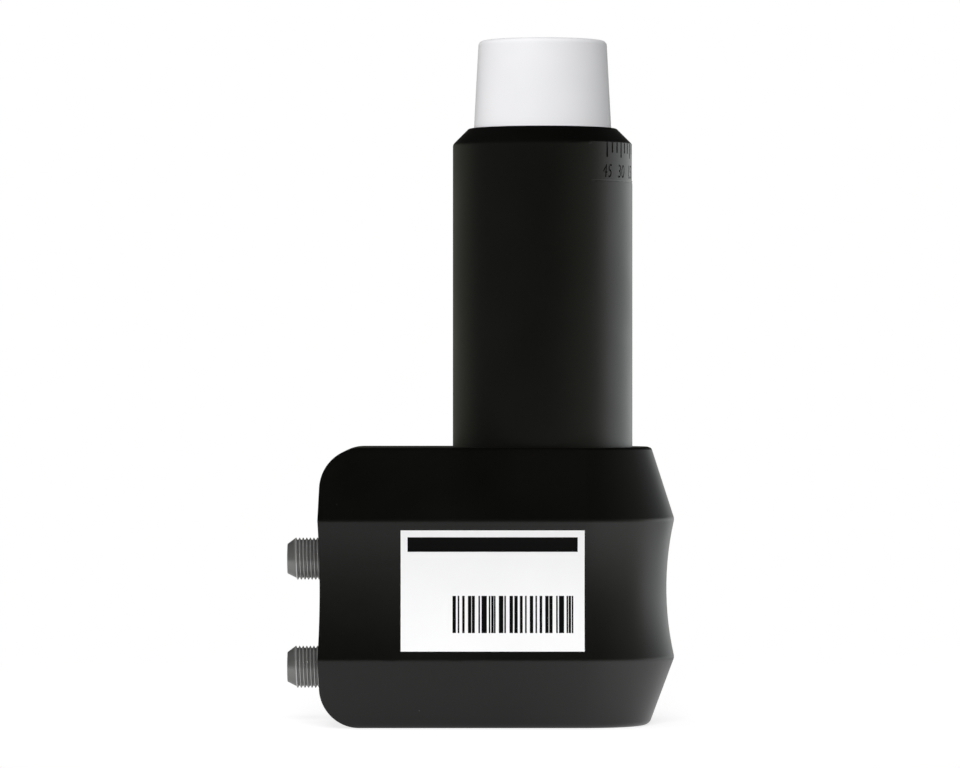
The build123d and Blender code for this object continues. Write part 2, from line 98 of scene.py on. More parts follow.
def make_grain_group():
    """Fine grain of a moulded or cast surface: height for a Bump node."""
    group, entry, leave = new_group("fine_grain", [("Scale", 2500.0)], ["Height"])
    place = group.nodes.new("ShaderNodeTexCoord")
    noise = group.nodes.new("ShaderNodeTexNoise")
    noise.inputs["Detail"].default_value = GRAIN_DETAIL
    noise.inputs["Roughness"].default_value = GRAIN_ROUGHNESS
    group.links.new(place.outputs["Object"], noise.inputs["Vector"])
    group.links.new(entry.outputs["Scale"], noise.inputs["Scale"])
    group.links.new(noise.outputs["Fac"], leave.inputs["Height"])
    return group


grain_group = make_grain_group()
print("node group:", grain_group.name)

# %% Slow cloud
CLOUD_DETAIL = 2.0
CLOUD_LOW = 0.3
CLOUD_HIGH = 0.7


def make_cloud_group():
    """Slow change from place to place, between 0 and 1."""
    group, entry, leave = new_group("slow_cloud", [("Scale", 60.0)], ["Cloud"])
    place = group.nodes.new("ShaderNodeTexCoord")
    noise = group.nodes.new("ShaderNodeTexNoise")
    noise.inputs["Detail"].default_value = CLOUD_DETAIL
    spread = group.nodes.new("ShaderNodeMapRange")
    spread.inputs["From Min"].default_value = CLOUD_LOW
    spread.inputs["From Max"].default_value = CLOUD_HIGH
    group.links.new(place.outputs["Object"], noise.inputs["Vector"])
    group.links.new(entry.outputs["Scale"], noise.inputs["Scale"])
    group.links.new(noise.outputs["Fac"], spread.inputs["Value"])
    group.links.new(spread.outputs["Result"], leave.inputs["Cloud"])
    return group


cloud_group = make_cloud_group()
print("node group:", cloud_group.name)

# %% [markdown]
# ## A finish from two tones, a roughness range and a grain
# Nearly every piece is one material all through, so one recipe serves them: the slow cloud mixes a
# darker and a lighter tone, the same cloud moves the roughness between two values, and the grain
# raises the surface through a Bump node. What is constant, such as metallic or the specular level,
# is set on the shader's own socket, where an export can find it.

# %% The recipe of a finish
def group_node(material, group, **values):
    """Place a node group in a material and set its inputs."""
    node = material.node_tree.nodes.new("ShaderNodeGroup")
    node.node_tree = group
    for socket_name, value in values.items():
        node.inputs[socket_name].default_value = value
    return node


finishes = {}


def make_finish(name, dark, light, rough, metallic=0.0, specular=0.5, grain=2500.0, relief=0.01, cloud=60.0):
    """Keep a procedural finish; rough is its range of roughness, relief the grain in millimetres."""
    material = bpy.data.materials.new(name)
    material.use_nodes = True
    tree = material.node_tree
    shader = tree.nodes["Principled BSDF"]
    shader.inputs["Metallic"].default_value = metallic
    shader.inputs["Specular IOR Level"].default_value = specular
    clouds = group_node(material, cloud_group, Scale=cloud)
    tones = tree.nodes.new("ShaderNodeMix")
    tones.name = "tones"
    tones.data_type = "RGBA"
    tones.inputs["A"].default_value = (*dark, 1.0)
    tones.inputs["B"].default_value = (*light, 1.0)
    tree.links.new(clouds.outputs["Cloud"], tones.inputs["Factor"])
    tree.links.new(tones.outputs["Result"], shader.inputs["Base Color"])
    dullness = tree.nodes.new("ShaderNodeMapRange")
    dullness.inputs["To Min"].default_value = rough[0]
    dullness.inputs["To Max"].default_value = rough[1]
    tree.links.new(clouds.outputs["Cloud"], dullness.inputs["Value"])
    tree.links.new(dullness.outputs["Result"], shader.inputs["Roughness"])
    grains = group_node(material, grain_group, Scale=grain)
    bump = tree.nodes.new("ShaderNodeBump")
    bump.inputs["Strength"].default_value = 1.0
    bump.inputs["Distance"].default_value = relief * MM
    tree.links.new(grains.outputs["Height"], bump.inputs["Height"])
    tree.links.new(bump.outputs["Normal"], shader.inputs["Normal"])
    finishes[name] = material


# %% [markdown]
# ## The finishes that show
# The housing and the neck are black plastic with a satin grain: almost no colour of its own, so what
# we see is reflected light. The feed cap is a paler, smoother plastic that radio waves pass through,
# the sticker is coated paper, and the outputs are nickel over brass.

# %% Finishes outside
make_finish("housing_black", (0.0016, 0.0016, 0.0013), (0.0024, 0.0024, 0.002), (0.36, 0.42), grain=3000.0)
make_finish("cap_white", (0.80, 0.80, 0.82), (0.84, 0.84, 0.855), (0.45, 0.52), specular=0.3, relief=0.004)
make_finish("label_white", (0.91, 0.91, 0.915), (0.94, 0.94, 0.945), (0.5, 0.6), specular=0.08, relief=0.003)
make_finish("nickel_plate", (0.70, 0.70, 0.695), (0.80, 0.80, 0.79), (0.28, 0.38),
            metallic=0.72, relief=0.003, cloud=400.0)
make_finish("contact_brass", (0.62, 0.45, 0.18), (0.74, 0.57, 0.26), (0.22, 0.34),
            metallic=1.0, relief=0.004, cloud=400.0)
make_finish("insulator_white", (0.70, 0.70, 0.67), (0.77, 0.77, 0.74), (0.4, 0.5))
print("finishes outside:", len(finishes))

# %% [markdown]
# ## The finishes inside
# Whoever opens the part in pieces sees these: bare zinc casting, rubber, the lens plastic, a green
# board with black and brown chips, a steel crystal can and screws, and the grey damping sheet. They
# come from the same recipe, with tones and roughness picked for each.

# %% Finishes inside
make_finish("cast_metal", (0.50, 0.50, 0.51), (0.60, 0.60, 0.61), (0.42, 0.6),
            metallic=1.0, grain=1500.0, relief=0.05)
make_finish("seal_rubber", (0.012, 0.012, 0.012), (0.02, 0.02, 0.02), (0.7, 0.85))
make_finish("rod_plastic", (0.68, 0.66, 0.61), (0.74, 0.72, 0.68), (0.35, 0.45))
make_finish("board_green", (0.012, 0.09, 0.035), (0.02, 0.12, 0.05), (0.3, 0.4), cloud=300.0)
make_finish("chip_black", (0.012, 0.012, 0.013), (0.02, 0.02, 0.021), (0.5, 0.6), cloud=300.0)
make_finish("capacitor_ceramic", (0.40, 0.29, 0.17), (0.48, 0.36, 0.22), (0.4, 0.5))
make_finish("crystal_steel", (0.55, 0.55, 0.55), (0.62, 0.62, 0.62), (0.25, 0.35), metallic=1.0, cloud=300.0)
make_finish("screw_steel", (0.48, 0.48, 0.49), (0.56, 0.56, 0.57), (0.3, 0.4), metallic=1.0, cloud=300.0)
make_finish("absorber_grey", (0.05, 0.05, 0.055), (0.08, 0.08, 0.085), (0.75, 0.9))
print("finishes in all:", len(finishes))

# %% [markdown]
# ## Dress the solids
# The record says which finish slot each piece belongs to. Giving a piece its finish is only a matter
# of filling its material slot; the mesh itself is left as it is.

# %% Dress the solids
slot_of = {part["node"]: part["material_slot"] for part in frame["record"]["subparts"]}
for name, piece in nodes.items():
    piece.data.materials.clear()
    piece.data.materials.append(finishes[slot_of[name]])
print("dressed", len(nodes), "solids")

# %% [markdown]
# ## Masks made of sums
# Three finishes need something laid over them in places: dust on the plastic, ink on the sticker, painted
# shade in the threads. An image could hold such a mask, but it would be tied to one size and one mapping. A
# few Math nodes can work the mask out for every point instead. These helpers keep such sums short, and
# the last one mixes a tone over a finish wherever a mask says so.

# %% Sums of nodes
def math_node(tree, operation, *values):
    """A Math node on sockets or numbers; gives its output."""
    node = tree.nodes.new("ShaderNodeMath")
    node.operation = operation
    for socket, value in zip(node.inputs, values):
        if isinstance(value, (int, float)):
            socket.default_value = value
        else:
            tree.links.new(value, socket)
    return node.outputs["Value"]


def product(tree, *values):
    """All values multiplied."""
    return functools.reduce(lambda first, second: math_node(tree, "MULTIPLY", first, second), values)


def total(tree, *values):
    """All values added."""
    return functools.reduce(lambda first, second: math_node(tree, "ADD", first, second), values)


# %% A tone over a finish
def lay_over(finish, group, mask, tone):
    """Mix a tone over the tones of a finish wherever a group's mask is 1."""
    tree = finish.node_tree
    over = tree.nodes.new("ShaderNodeMix")
    over.data_type = "RGBA"
    over.inputs["B"].default_value = tone
    tree.links.new(tree.nodes["tones"].outputs["Result"], over.inputs["A"])
    tree.links.new(group_node(finish, group).outputs[mask], over.inputs["Factor"])
    tree.links.new(over.outputs["Result"], tree.nodes["Principled BSDF"].inputs["Base Color"])
    print(group.name, "laid over", finish.name)


# %% [markdown]
# ## Dust on the black plastic
# Black plastic shows every speck. A Voronoi texture scatters points through space; wherever the surface
# passes close by one of them, it gets a small pale dot. Its own random value per point lets us drop
# about half of the points, and the plastic cuts the rest at different depths, so that the specks that
# are left differ in size, as they do in life.

# %% Dust on the black plastic
DUST_TONE = (0.06, 0.06, 0.057, 1.0)
DUST_DROPPED = 0.55
DUST_SCALE = 160.0
DUST_SIZE = 0.02


def make_dust_group():
    """1 on a speck of dust, otherwise 0; Size is a share of the distance between the scattered points."""
    group, entry, leave = new_group("dust_specks", [("Scale", DUST_SCALE), ("Size", DUST_SIZE)], ["Speck"])
    place = group.nodes.new("ShaderNodeTexCoord")
    points = group.nodes.new("ShaderNodeTexVoronoi")
    chance = group.nodes.new("ShaderNodeSeparateColor")
    group.links.new(place.outputs["Object"], points.inputs["Vector"])
    group.links.new(entry.outputs["Scale"], points.inputs["Scale"])
    group.links.new(points.outputs["Color"], chance.inputs["Color"])
    near = math_node(group, "LESS_THAN", points.outputs["Distance"], entry.outputs["Size"])
    kept = math_node(group, "GREATER_THAN", chance.outputs["Red"], DUST_DROPPED)
    group.links.new(product(group, near, kept), leave.inputs["Speck"])
    return group


lay_over(finishes["housing_black"], make_dust_group(), "Speck", DUST_TONE)

# %% [markdown]
# ## Print on the sticker
# The sticker carries a plain dark band along its top and a block of upright bars lower down, both
# without any meaning. Flat ink has no thickness worth modelling, so it is a mask in the sticker's
# finish: a point is inked where it lies inside a rectangle, and inside the lower one only where its
# distance along the block falls in a bar. Three combs of different steps, laid over each other, give
# bars and gaps of uneven width.

# %% A rectangle as a mask
label_low, label_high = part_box("label")
LABEL_WIDTH = (label_high.x - label_low.x) / MM
LABEL_HEIGHT = (label_high.z - label_low.z) / MM


def inside(tree, position, low, high):
    """1 where a position lies between two values, otherwise 0."""
    above = math_node(tree, "GREATER_THAN", position, low)
    below = math_node(tree, "LESS_THAN", position, high)
    return product(tree, above, below)


print("sticker", round(LABEL_WIDTH, 1), "by", round(LABEL_HEIGHT, 1), "mm")

# %% The ink mask
# Millimetres on the sticker; a comb is the step of its bars and their width.
BAND_MARGIN = 1.5
BAND_HEIGHT = 3.2
BLOCK_WIDTH = 26.6
BLOCK_MARGIN = 2.2
BLOCK_LEFT = LABEL_WIDTH - BLOCK_MARGIN - BLOCK_WIDTH
BLOCK_FOOT = 4.0
BLOCK_HEIGHT = 8.1
COMBS = ((1.13, 0.36), (2.11, 0.54), (3.37, 0.75))


def make_ink_group():
    """Ink mask of the sticker, from Object coordinates in millimetres from its lower left corner."""
    group, _, leave = new_group("sticker_ink", [], ["Ink"])
    place = group.nodes.new("ShaderNodeTexCoord")
    axes = group.nodes.new("ShaderNodeSeparateXYZ")
    group.links.new(place.outputs["Object"], axes.inputs["Vector"])
    along = math_node(group, "MULTIPLY_ADD", axes.outputs["X"], 1 / MM, -label_low.x / MM)
    up = math_node(group, "MULTIPLY_ADD", axes.outputs["Z"], 1 / MM, -label_low.z / MM)
    band = product(group, inside(group, along, BAND_MARGIN, LABEL_WIDTH - BAND_MARGIN),
                   inside(group, up, LABEL_HEIGHT - BAND_MARGIN - BAND_HEIGHT, LABEL_HEIGHT - BAND_MARGIN))
    block = product(group, inside(group, along, BLOCK_LEFT, BLOCK_LEFT + BLOCK_WIDTH),
                    inside(group, up, BLOCK_FOOT, BLOCK_FOOT + BLOCK_HEIGHT))
    from_left = math_node(group, "SUBTRACT", along, BLOCK_LEFT)
    combs = 0.0
    for step, bar in COMBS:
        comb = math_node(group, "LESS_THAN", math_node(group, "MODULO", from_left, step), bar)
        combs = math_node(group, "MAXIMUM", combs, comb)
    ink = math_node(group, "MAXIMUM", band, product(group, block, combs))
    group.links.new(ink, leave.inputs["Ink"])
    return group


INK = (0.003, 0.003, 0.003, 1.0)
lay_over(finishes["label_white"], make_ink_group(), "Ink", INK)

# %% [markdown]
# ## The threaded outputs
# Each output is a turned barrel with a fine screw thread, 32 turns to the inch. The solids keep it as
# a plain cylinder, so here we make the barrel again with its thread. A lathe would cut it with a
# pointed tool that moves along while the work turns; Blender's spin does the same when it gets a step
# along the axis for every step round it. One tooth of the thread is spun into a spring of teeth, the
# turns are merged into one skin, and two planes cut it to length.

# %% One helper to finish a new piece
SHARP_ANGLE = math.radians(32)


def add_piece(name, shape, replaced):
    """Turn a bmesh into a smooth-shaded piece that rides the body and stands in for a solid."""
    mesh = bpy.data.meshes.new(name)
    bmesh.ops.recalc_face_normals(shape, faces=shape.faces)
    shape.to_mesh(mesh)
    shape.free()
    mesh.shade_smooth()
    mesh.set_sharp_from_angle(angle=SHARP_ANGLE)
    mesh.materials.append(finishes[slot_of[replaced]])
    piece = bpy.data.objects.new(name, mesh)
    bpy.context.collection.objects.link(piece)
    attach(piece, "root")
    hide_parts(replaced)
    print(name, "has", len(mesh.polygons), "faces")
    return piece


# %% Spin the thread
INCH = 25.4
TURNS_AN_INCH = 32
THREAD_PITCH = INCH / TURNS_AN_INCH * MM
THREAD_DEPTH = 0.61 * THREAD_PITCH
FLANK_START, CREST_START, CREST_END = 0.2, 0.54, 0.66
STEPS_A_TURN = 60
SPARE_TURNS = 2
LEAD_IN = 1.5 * THREAD_PITCH
MERGE_REACH = THREAD_PITCH / 500
CUT_TOLERANCE = 1e-9


def spin_thread(axis_z, start_x, end_x, crest):
    """A skin of thread round an axis along X, from end_x up to start_x."""
    shape = bmesh.new()
    turns = math.ceil((start_x - end_x) / THREAD_PITCH) + SPARE_TURNS
    root = crest - THREAD_DEPTH
    first_x = end_x - LEAD_IN
    tooth = ((0.0, root), (FLANK_START, root), (CREST_START, crest), (CREST_END, crest), (1.0, root))
    line = [shape.verts.new((first_x + share * THREAD_PITCH, 0.0, axis_z + radius))
            for share, radius in tooth]
    edges = [shape.edges.new(pair) for pair in zip(line, line[1:])]
    bmesh.ops.spin(shape, geom=line + edges, cent=(0.0, 0.0, axis_z), axis=(1.0, 0.0, 0.0),
                   dvec=(THREAD_PITCH / STEPS_A_TURN, 0.0, 0.0), angle=math.tau * turns,
                   steps=STEPS_A_TURN * turns, use_merge=False, use_duplicate=False)
    bmesh.ops.remove_doubles(shape, verts=shape.verts, dist=MERGE_REACH)
    for x, side in ((start_x, 1.0), (end_x, -1.0)):
        whole = shape.verts[:] + shape.edges[:] + shape.faces[:]
        bmesh.ops.bisect_plane(shape, geom=whole, dist=CUT_TOLERANCE, clear_outer=True,
                               plane_co=(x, 0.0, 0.0), plane_no=(side, 0.0, 0.0))
    return shape


print("thread pitch", round(THREAD_PITCH / MM, 3), "mm")

# %% [markdown]
# From the two cut ends of the thread the rest of the barrel is drawn ring by ring, as on a lathe
# drawing: at the tip the bevelled nose and the bore, at the foot the relief, the flange and the spigot
# that sits in the casting. Extruding an open rim and setting the new ring's place and radius does each
# step, and a bridge between the last two rings closes the barrel.

# %% Draw the barrel from the rims
SAME_PLACE = 1e-7


def open_rim(shape, x):
    """The open edges that lie at a place along the axis."""
    return [e for e in shape.edges if e.is_boundary and all(abs(v.co.x - x) < SAME_PLACE for v in e.verts)]


def draw_rings(shape, rim, axis_z, rings):
    """Extrude an open rim through rings given as (x, radius); gives the last rim."""
    for x, radius in rings:
        new = bmesh.ops.extrude_edge_only(shape, edges=rim)["geom"]
        verts = {v for v in new if isinstance(v, bmesh.types.BMVert)}
        rim = [e for e in new if isinstance(e, bmesh.types.BMEdge) and verts.issuperset(e.verts)]
        for vert in verts:
            outward = Vector((0.0, vert.co.y, vert.co.z - axis_z)).normalized() * radius
            vert.co = (x, outward.y, axis_z + outward.z)
    return rim


# %% Make both outputs
NOSE_LENGTH = 1.8 * MM
NOSE_TAPER = 1.4 * MM
RELIEF = 0.3 * MM
WALL_GAP = 0.3 * MM
FLANGE_THICKNESS = 1.6 * MM
TRAY_WALL = 3.0 * MM
SPIGOT_RADIUS = 3.9 * MM
BORE_RADIUS = 2.6 * MM
shell_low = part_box("front_shell")[0]
crest_radius = next(m["dims"]["r_mm"] for m in frame["record"]["mounts"] if m["name"] == "upper_output") * MM


def make_output(name, node):
    """A barrel with a real thread in place of an output's solid; gives the height of its axis."""
    low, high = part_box(node)
    axis_z = (low.z + high.z) / 2
    flange_radius = (high.z - low.z) / 2
    start_x = shell_low.x - WALL_GAP
    nose_x = low.x + NOSE_LENGTH
    spigot_x = high.x - TRAY_WALL
    shape = spin_thread(axis_z, start_x, nose_x, crest_radius)
    tip_rim = draw_rings(shape, open_rim(shape, nose_x), axis_z, [
        (low.x, crest_radius - NOSE_TAPER), (low.x, BORE_RADIUS), (high.x, BORE_RADIUS)])
    foot_rim = draw_rings(shape, open_rim(shape, start_x), axis_z, [
        (start_x, crest_radius - RELIEF), (spigot_x - FLANGE_THICKNESS, crest_radius - RELIEF),
        (spigot_x - FLANGE_THICKNESS, flange_radius), (spigot_x, flange_radius),
        (spigot_x, SPIGOT_RADIUS), (high.x, SPIGOT_RADIUS)])
    bmesh.ops.bridge_loops(shape, edges=tip_rim + foot_rim)
    add_piece(name, shape, node)
    return axis_z


upper_axis = make_output("upper_threaded_output", "upper_connector")
lower_axis = make_output("lower_threaded_output", "lower_connector")
print("axes", round((upper_axis - lower_axis) / MM, 1), "mm apart")

# %% [markdown]
# ## Painted shade in the threads
# The crests keep the full shine of the plating, and the grooves, which lie in shade, get a darker tone
# painted in. The distance of a point from the axis of its output tells groove from crest, so the mask
# is that distance spread between the two radii, and it mixes the painted shade into the plating.

# %% Painted shade in the grooves
# painted shade: a darker tone in the thread grooves, standing in for the shade that falls there
GROOVE_PAINTED_SHADE = (0.26, 0.26, 0.255, 1.0)


def make_groove_group():
    """Painted shade: 1 at the bottom of a thread groove and 0 on its crest, from the distance to the nearer
    axis.
    """
    group, _, leave = new_group("thread_groove_shade", [], ["GrooveShade"])
    place = group.nodes.new("ShaderNodeTexCoord")
    axes = group.nodes.new("ShaderNodeSeparateXYZ")
    group.links.new(place.outputs["Object"], axes.inputs["Vector"])
    from_middle = math_node(group, "SUBTRACT", axes.outputs["Z"], (upper_axis + lower_axis) / 2)
    from_middle = math_node(group, "ABSOLUTE", from_middle)
    level = math_node(group, "SUBTRACT", from_middle, (upper_axis - lower_axis) / 2)
    squares = total(group, product(group, level, level), product(group, axes.outputs["Y"], axes.outputs["Y"]))
    depth = group.nodes.new("ShaderNodeMapRange")
    depth.inputs["From Min"].default_value = crest_radius
    depth.inputs["From Max"].default_value = crest_radius - THREAD_DEPTH
    group.links.new(math_node(group, "SQRT", squares), depth.inputs["Value"])
    outside = math_node(group, "LESS_THAN", axes.outputs["X"], shell_low.x)
    group.links.new(product(group, depth.outputs["Result"], outside), leave.inputs["GrooveShade"])
    return group


# lay the painted groove shade over the plating
lay_over(finishes["nickel_plate"], make_groove_group(), "GrooveShade", GROOVE_PAINTED_SHADE)

# %% [markdown]
# ## Numbers on the angle scale
# The lines of the scale are cut into the solid neck already. The numbers, 45 to 0 to 45, are cut here:
# each is written as text, turned into a mesh with a little thickness, bent round the neck and taken
# out of a copy of the sleeve with a Boolean. A bump in the finish would do for a glance from the front,
# but real cuts hold from every side and stay in the mesh.

# %% Write one number
neck_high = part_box("neck_sleeve")[1]
NECK_RADIUS = neck_high.y
NUMBER_HEIGHT = 2.9 * MM
NUMBER_WIDTH = 0.75
NUMBER_SLANT = 0.12
NUMBER_DEPTH = 0.4 * MM
NUMBER_DROP = 9.8 * MM
NUMBER_Z = neck_high.z - NUMBER_DROP
TEXT_RESOLUTION = 3
TEXT_HALF_THICKNESS = 0.5
TEXT_MERGE = 1e-5


def write_number(number):
    """A number as a closed mesh, upright in its own XY plane and centred there."""
    writing = bpy.data.curves.new("number", "FONT")
    writing.body = str(number)
    writing.align_x = "CENTER"
    writing.resolution_u = TEXT_RESOLUTION
    writing.extrude = TEXT_HALF_THICKNESS
    writing.shear = NUMBER_SLANT
    holder = bpy.data.objects.new("number", writing)
    mesh = bpy.data.meshes.new_from_object(holder)
    shape = bmesh.new()
    shape.from_mesh(mesh)
    bpy.data.objects.remove(holder)
    bpy.data.curves.remove(writing)
    bpy.data.meshes.remove(mesh)
    bmesh.ops.remove_doubles(shape, verts=shape.verts, dist=TEXT_MERGE)
    bmesh.ops.recalc_face_normals(shape, faces=shape.faces)
    scale = NUMBER_HEIGHT / max(v.co.y for v in shape.verts)
    thickness = NUMBER_DEPTH / TEXT_HALF_THICKNESS
    bmesh.ops.scale(shape, verts=shape.verts, vec=(scale * NUMBER_WIDTH, scale, thickness))
    bmesh.ops.translate(shape, verts=shape.verts, vec=(0.0, -NUMBER_HEIGHT / 2, 0.0))
    return shape


# %% Bend the numbers round the neck
NUMBER_STEP = 15
NUMBER_REACH = 45
cutter_shape = bmesh.new()
for angle in range(-NUMBER_REACH, NUMBER_REACH + 1, NUMBER_STEP):
    shape = write_number(abs(angle))
    for vert in shape.verts:
        turn = math.radians(angle) + vert.co.x / NECK_RADIUS
        reach = NECK_RADIUS + vert.co.z
        vert.co = (reach * math.cos(turn), reach * math.sin(turn), NUMBER_Z + vert.co.y)
    bent = bpy.data.meshes.new("bent_number")
    shape.to_mesh(bent)
    shape.free()
    cutter_shape.from_mesh(bent)
    bpy.data.meshes.remove(bent)
bmesh.ops.recalc_face_normals(cutter_shape, faces=cutter_shape.faces)
print("numbers bent:", len(cutter_shape.faces), "faces")

# %% [markdown]
# The scale lies in a shallow recess, and a fine notch along its foot underlines the numbers: its slope
# looks down a little and catches the light. On the copy of the sleeve we merge the doubled points
# first, so that the Boolean will meet a closed skin. Planes part the wall just above and below the
# numbers, so that the cut disturbs the faces of a small zone only, and one ring of points is drawn
# inwards to make the notch. Nothing stands out, because the neck slides into a clamp. After the cut,
# points that only sit in the middle of an edge are dissolved: they would leave slivers behind when
# the mesh is split into triangles.

# %% Copy the sleeve and press in its notch
PANEL_DROP = 11.7 * MM
PANEL_FOOT = neck_high.z - PANEL_DROP
PANEL_HALF_ANGLE = math.radians(57)
ZONE_HEIGHTS = 0.75
ZONE_HEAD = NUMBER_Z + ZONE_HEIGHTS * NUMBER_HEIGHT
NOTCH_DEPTH = 0.1 * MM
NOTCH_HEIGHT = 0.4 * MM
NOTCH_STEP = 0.05 * MM
RING_TOLERANCE = 1e-6
notch_z = PANEL_FOOT - NOTCH_HEIGHT
sleeve_shape = bmesh.new()
sleeve_shape.from_mesh(nodes["neck_sleeve"].data)
bmesh.ops.remove_doubles(sleeve_shape, verts=sleeve_shape.verts, dist=SAME_PLACE)
for height in (notch_z - NOTCH_STEP, notch_z, ZONE_HEAD):
    whole = sleeve_shape.verts[:] + sleeve_shape.edges[:] + sleeve_shape.faces[:]
    bmesh.ops.bisect_plane(sleeve_shape, geom=whole, dist=CUT_TOLERANCE,
                           plane_co=(0.0, 0.0, height), plane_no=(0.0, 0.0, 1.0))
ring = [v for v in sleeve_shape.verts if abs(v.co.z - notch_z) < RING_TOLERANCE]
notch = [v for v in ring if math.hypot(v.co.x, v.co.y) > NECK_RADIUS - NOTCH_DEPTH
         and abs(math.atan2(v.co.y, v.co.x)) < PANEL_HALF_ANGLE]
drawn_in = 1 - NOTCH_DEPTH / NECK_RADIUS
bmesh.ops.scale(sleeve_shape, verts=notch, vec=(drawn_in, drawn_in, 1.0))
print("notch of", len(notch), "points")

# %% Cut the numbers
def hold(name, shape):
    """Put a bmesh into the scene for a while."""
    mesh = bpy.data.meshes.new(name)
    shape.to_mesh(mesh)
    shape.free()
    holder = bpy.data.objects.new(name, mesh)
    bpy.context.collection.objects.link(holder)
    return holder


cutter = hold("numbers", cutter_shape)
sleeve = hold("sleeve_copy", sleeve_shape)
cut = sleeve.modifiers.new("numbers", "BOOLEAN")
cut.operation = "DIFFERENCE"
cut.solver = "EXACT"
cut.object = cutter
engraved = bpy.data.meshes.new_from_object(sleeve.evaluated_get(bpy.context.evaluated_depsgraph_get()))
assert len(engraved.vertices) > len(sleeve.data.vertices), "the Boolean has lost the sleeve"
engraved_shape = bmesh.new()
engraved_shape.from_mesh(engraved)
idle = [v for v in engraved_shape.verts if len(v.link_edges) == 2]
bmesh.ops.dissolve_verts(engraved_shape, verts=idle)
print("dissolved", len(idle), "idle points")
for scrap in (sleeve.data, cutter.data, engraved):
    bpy.data.meshes.remove(scrap)
neck = add_piece("engraved_neck", engraved_shape, "neck_sleeve")

# %% [markdown]
# A Boolean leaves long thin faces, and normals averaged from them would make the round wall look
# dented. But we know the true normals: the wall points straight out from the axis, the bevel at its top
# half out and half up, and the slope of the notch a little down. Faces that lie on one of them get its
# normals, and all others keep their own.

# %% True normals for wall, bevel and notch
WALL, BEVEL, NOTCH = 0.0, 1.0, -NOTCH_DEPTH / NOTCH_HEIGHT
LEAST_AGREEMENT = {WALL: 0.995, BEVEL: 0.995, NOTCH: 0.985}


def true_normal(face_normal, corner, fallback):
    """Normal at a corner of the round wall, the bevel or the notch, if the face lies on one of them."""
    for slope, agreement in LEAST_AGREEMENT.items():
        normal = Vector((corner.x, corner.y, slope * math.hypot(corner.x, corner.y))).normalized()
        if face_normal.dot(normal) > agreement:
            return normal
    return fallback


neck_mesh = neck.data
corner_normals = [normal.vector.copy() for normal in neck_mesh.corner_normals]
for face in neck_mesh.polygons:
    for corner in face.loop_indices:
        place = neck_mesh.vertices[neck_mesh.loops[corner].vertex_index].co
        corner_normals[corner] = true_normal(face.normal, place, corner_normals[corner])
neck_mesh.normals_split_custom_set(corner_normals)
print("normals set on", len(corner_normals), "corners")

# %% [markdown]
# ## The table
# The object stands on a small round table in a white room. Black plastic mirrors what lies before it:
# the lower taper of the housing looks down at the table and is the lightest band, the upper taper looks
# over it and is the darkest, and the neck stands too high to see much of it. A floor without an end
# would lay the same grey veil on everything, so ours is a disc.

# %% A round table
FLOOR_RADIUS = 0.24
FLOOR_CENTRE = (-0.01, 0.06)
FLOOR_DROP = 0.05 * MM
FLOOR_SEGMENTS = 96
floor_shape = bmesh.new()
bmesh.ops.create_circle(floor_shape, cap_ends=True, segments=FLOOR_SEGMENTS, radius=FLOOR_RADIUS)
bmesh.ops.translate(floor_shape, verts=floor_shape.verts, vec=(*FLOOR_CENTRE, solid_box[0][2] - FLOOR_DROP))
floor = hold("floor", floor_shape)
print("table", 2 * FLOOR_RADIUS, "m across")

# %% [markdown]
# Its paint is matt, so it keeps the shadow of the object. A glow is added that depends on what kind of
# ray arrives, which Light Path tells: camera rays see enough of it to take the paint for white, mirror
# rays see a fainter one that rises towards the right in front of the object, where the portrait's
# lower band grows lighter, and soft light sees none, so nothing is lit by it.

# %% Paint with a glow
FLOOR_PAINT = (0.4, 0.4, 0.4, 1.0)
CAMERA_GLOW = 0.77
MIRROR_GLOW = 0.41
RIGHT_GLOW = 0.6
GLOW_ACROSS = (-0.01, 0.04)
GLOW_BACK = (0.0, 0.09)


def soft_step(tree, value, start, end, low=0.0, high=1.0):
    """Go from low at start to high at end without a corner."""
    node = tree.nodes.new("ShaderNodeMapRange")
    node.interpolation_type = "SMOOTHSTEP"
    for socket_name, number in (("From Min", start), ("From Max", end), ("To Min", low), ("To Max", high)):
        node.inputs[socket_name].default_value = number
    tree.links.new(value, node.inputs["Value"])
    return node.outputs["Result"]


def soft_drop(tree, value, start, end):
    """Go from 1 at start to 0 at end without a corner."""
    return soft_step(tree, value, start, end, 1.0, 0.0)


floor_finish = bpy.data.materials.new("pale_floor")
floor_finish.use_nodes = True
floor.data.materials.append(floor_finish)
tree = floor_finish.node_tree
tree.nodes.clear()
matt = tree.nodes.new("ShaderNodeBsdfDiffuse")
matt.inputs["Color"].default_value = FLOOR_PAINT
glow = tree.nodes.new("ShaderNodeEmission")
rays = tree.nodes.new("ShaderNodeLightPath")
place = tree.nodes.new("ShaderNodeTexCoord")
axes = tree.nodes.new("ShaderNodeSeparateXYZ")
tree.links.new(place.outputs["Object"], axes.inputs["Vector"])
to_right = soft_step(tree, axes.outputs["X"], *GLOW_ACROSS)
in_front = soft_drop(tree, axes.outputs["Y"], *GLOW_BACK)
mirrored = total(tree, product(tree, to_right, in_front, RIGHT_GLOW), MIRROR_GLOW)
strength = total(tree, product(tree, rays.outputs["Is Camera Ray"], CAMERA_GLOW),
                 product(tree, rays.outputs["Is Glossy Ray"], mirrored))
tree.links.new(strength, glow.inputs["Strength"])
painted = tree.nodes.new("ShaderNodeAddShader")
tree.links.new(matt.outputs["BSDF"], painted.inputs[0])
tree.links.new(glow.outputs["Emission"], painted.inputs[1])
print("glow for the camera", CAMERA_GLOW)

# %% [markdown]
# For the camera alone the paint fades to the white of the room towards the rim of the table, so that
# the disc has no edge in the picture.

